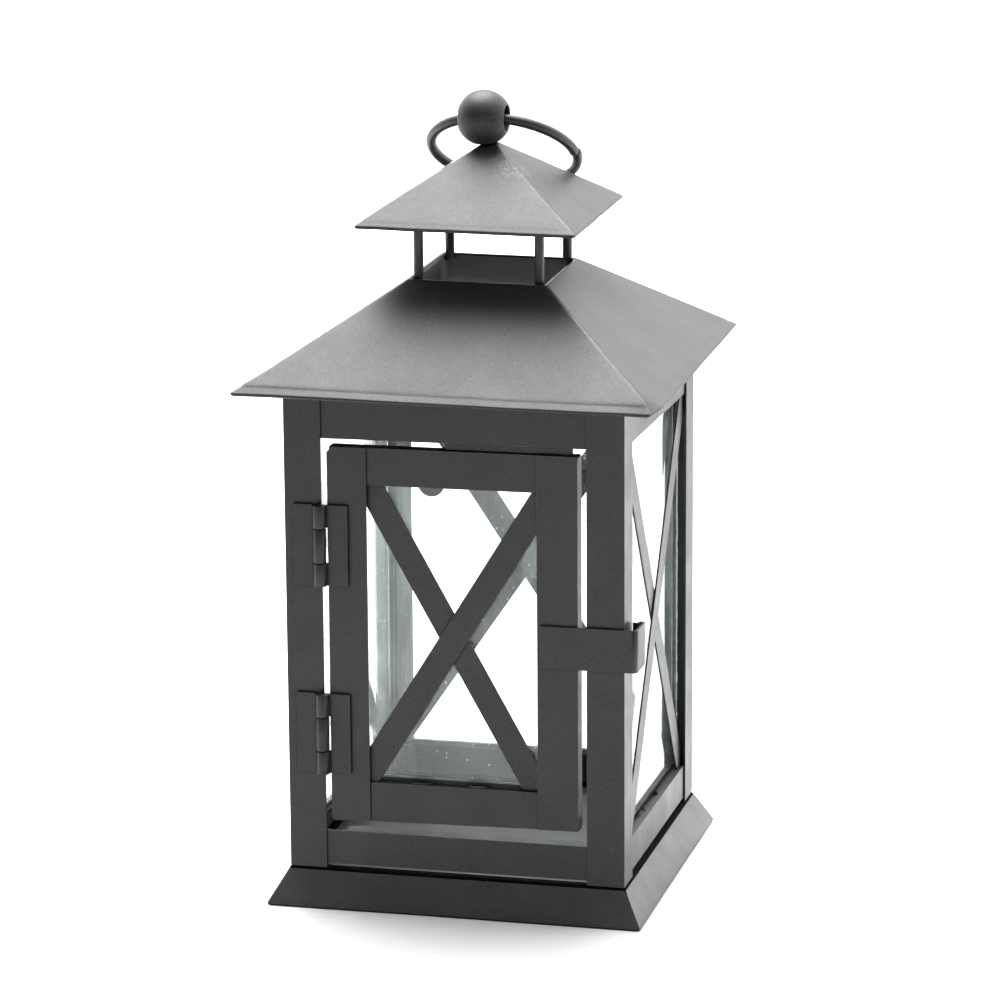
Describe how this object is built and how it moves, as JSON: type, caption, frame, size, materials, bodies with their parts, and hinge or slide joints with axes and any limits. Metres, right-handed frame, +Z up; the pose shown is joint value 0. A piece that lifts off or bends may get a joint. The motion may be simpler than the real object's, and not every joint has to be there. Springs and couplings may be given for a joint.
{
  "type": "candle lantern",
  "caption": "Square sheet-steel candle lantern with glazed cross-braced walls, a hinged glazed door with latch strap, vented two-tier roof, ball finial and swinging carrying ring.",
  "frame": {"origin": "centre of the square footprint, on the surface the lantern stands on", "axes": "+Z up to the ball finial, +X to the right along the door wall seen from outside, +Y from the door towards the back wall"},
  "size_m": [0.1286, 0.1284, 0.2462],
  "materials": {
    "frame_paint": "matte fine-textured anthracite paint",
    "base_paint": "matte fine-textured anthracite paint",
    "roof_paint": "matte fine-textured anthracite paint",
    "ball_paint": "satin fine-textured anthracite paint",
    "wire_paint": "satin anthracite paint",
    "hardware_paint": "matte anthracite paint over the hinges and strap",
    "screw_steel": "zinc-plated screw",
    "pane_glass": "clear float glass"
  },
  "bodies": {
    "lantern": {"ball_finial": "ball_paint", "ball_screw": "screw_steel", "base_pan": "base_paint", "bottom_rail_back": "frame_paint", "bottom_rail_front": "frame_paint", "bottom_rail_left": "frame_paint", "bottom_rail_right": "frame_paint", "brace_back_falling": "frame_paint", "brace_back_rising": "frame_paint", "brace_left_falling": "frame_paint", "brace_left_rising": "frame_paint", "brace_right_falling": "frame_paint", "brace_right_rising": "frame_paint", "cap_rod_back_left": "wire_paint", "cap_rod_back_right": "wire_paint", "cap_rod_front_left": "wire_paint", "cap_rod_front_right": "wire_paint", "corner_post_back_left": "frame_paint", "corner_post_back_right": "frame_paint", "corner_post_front_left": "frame_paint", "corner_post_front_right": "frame_paint", "glass_back": "pane_glass", "glass_left": "pane_glass", "glass_right": "pane_glass", "hinge_lower_frame_leaf": "hardware_paint", "hinge_upper_frame_leaf": "hardware_paint", "main_roof": "roof_paint", "top_rail_back": "frame_paint", "top_rail_front": "frame_paint", "top_rail_left": "frame_paint", "top_rail_right": "frame_paint", "upper_cap": "roof_paint"},
    "door": {"door_bottom_rail": "frame_paint", "door_brace_falling": "frame_paint", "door_brace_rising": "frame_paint", "door_glass": "pane_glass", "door_left_stile": "frame_paint", "door_right_stile": "frame_paint", "door_top_rail": "frame_paint", "hinge_lower_door_leaf": "hardware_paint", "hinge_lower_pin": "hardware_paint", "hinge_upper_door_leaf": "hardware_paint", "hinge_upper_pin": "hardware_paint", "latch_strap": "hardware_paint"},
    "ring": {"carry_ring": "wire_paint"}
  },
  "joints": [
    {"name": "door_hinge", "type": "hinge", "parent": "lantern", "child": "door", "pos_m": [-0.041, -0.0545, 0.084], "axis": [0, 0, -1], "range_deg": [0, 190]},
    {"name": "ring_swing", "type": "hinge", "parent": "lantern", "child": "ring", "pos_m": [-0.00192, -0.00314, 0.23767], "axis": [0.9999, 0, -0.0131], "range_deg": [-1.5, 250.5]}
  ]
}
